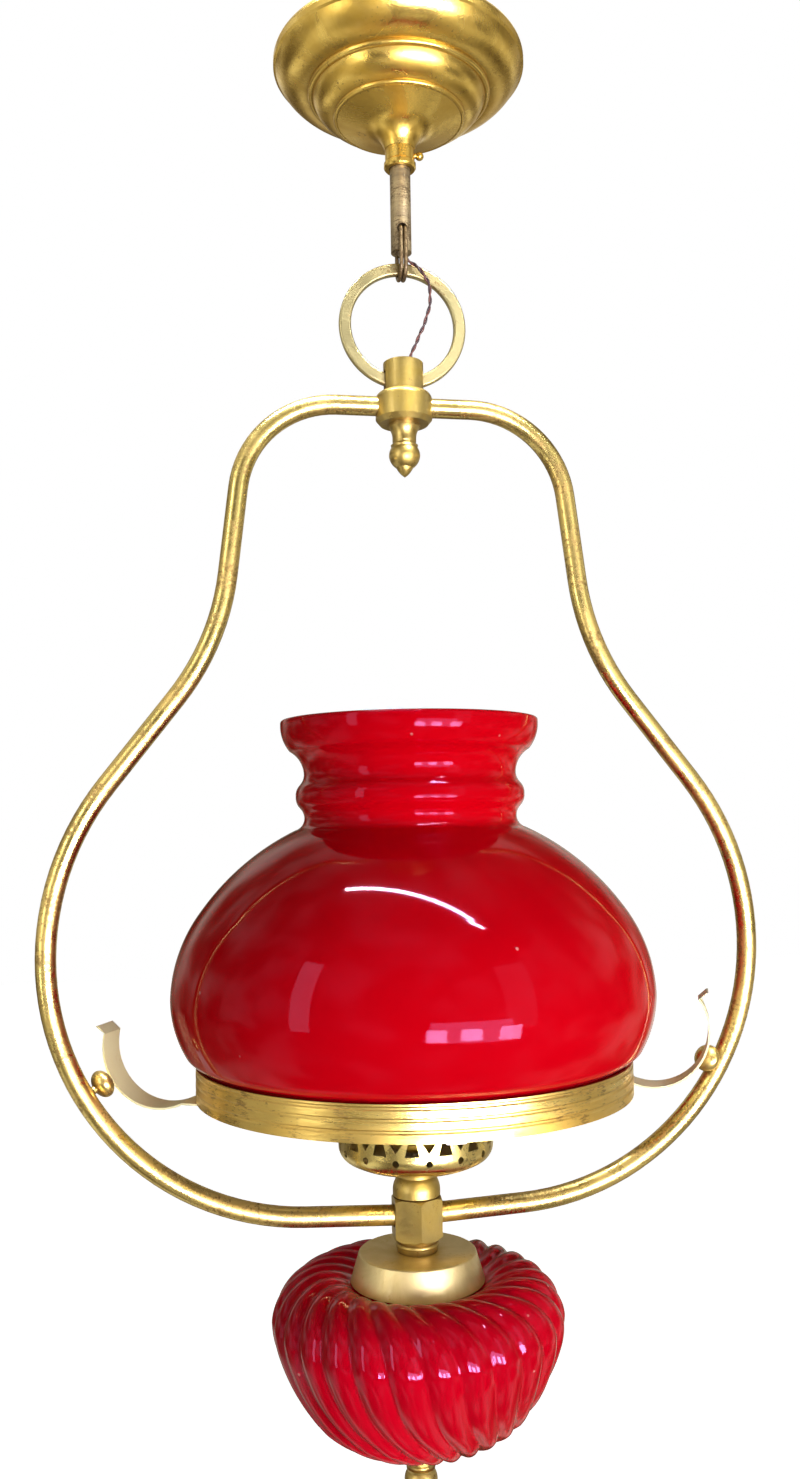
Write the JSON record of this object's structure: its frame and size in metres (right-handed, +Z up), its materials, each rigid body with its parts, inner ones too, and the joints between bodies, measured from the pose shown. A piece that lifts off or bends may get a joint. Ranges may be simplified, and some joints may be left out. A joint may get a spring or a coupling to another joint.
{
  "type": "hanging oil lamp",
  "caption": "Hanging harp lamp: ceiling canopy, hook link and ring, bent tube harp, glass shade on a sprung ring, pierced gallery and ribbed glass font.",
  "frame": {"origin": "centre of the canopy's opening in the plane of the ceiling", "axes": "+Z up along the lamp's axis, the harp's tubes lie in the XZ plane"},
  "size_m": [0.4406, 0.288, 0.8857],
  "materials": {
    "aged_brass": "aged satin brass with brown tarnish along edges",
    "dark_brass": "brass strip and wire, darker at the edges",
    "plated_steel": "dull zinc plate",
    "flex_sleeve": "twisted pair with a gold-brown sleeve",
    "red_shade_glass": "deep red cased glass, glossy",
    "red_font_glass": "deep red ribbed glass, glossy",
    "holder_metal": "thin drawn brass",
    "holder_ceramic": "off-white ceramic",
    "lamp_glass": "frosted glass",
    "gasket_fibre": "dark fibre"
  },
  "bodies": {
    "ceiling_mount": {"crossbar": "plated_steel", "stem_tube": "aged_brass", "stem_nuts": "plated_steel"},
    "canopy": {"canopy_shell": "aged_brass", "canopy_collar": "aged_brass", "canopy_set_screw": "aged_brass"},
    "link": {"hook_link": "dark_brass"},
    "ring": {"hanging_ring": "aged_brass", "twin_flex": "flex_sleeve"},
    "harp": {"ring_collar": "aged_brass", "top_hub": "aged_brass", "drop_finial": "aged_brass", "harp_tube_left": "aged_brass", "harp_tube_right": "aged_brass", "harp_wire": "flex_sleeve", "arm_studs": "aged_brass", "ring_arm_left": "dark_brass", "ring_arm_right": "dark_brass", "arm_rivets": "aged_brass", "shade_ring": "aged_brass", "ring_spider": "plated_steel", "gallery": "aged_brass", "lower_hub": "aged_brass", "hub_nipple": "plated_steel", "nipple_nuts": "plated_steel", "holder_shell": "holder_metal", "holder_insulator": "holder_ceramic", "holder_screw_shell": "holder_metal", "holder_contact": "holder_metal", "bulb_cap": "holder_metal", "bulb_glass": "lamp_glass", "font_cap": "aged_brass", "cap_gasket": "gasket_fibre", "font_glass": "red_font_glass", "font_rod": "plated_steel", "bottom_washer": "plated_steel", "bottom_finial": "aged_brass"},
    "shade": {"shade_glass": "red_shade_glass"}
  },
  "joints": [
    {"name": "canopy_slide", "type": "slide", "parent": "ceiling_mount", "child": "canopy", "axis": [0, 0, 1], "range_m": [-0.033, 0]},
    {"name": "link_swing", "type": "hinge", "parent": "ceiling_mount", "child": "link", "pos_m": [0, 0, -0.1143], "axis": [0, 1, 0], "range_deg": [-15, 15]},
    {"name": "ring_swing", "type": "hinge", "parent": "link", "child": "ring", "pos_m": [0, 0, -0.13875], "axis": [1, 0, 0], "range_deg": [-20, 20]},
    {"name": "harp_swing", "type": "hinge", "parent": "ring", "child": "harp", "pos_m": [0, 0, -0.21125], "axis": [1, 0, 0], "range_deg": [-12, 12]},
    {"name": "shade_lift", "type": "slide", "parent": "harp", "child": "shade", "axis": [0, 0, 1], "range_m": [0, 0.06]}
  ]
}
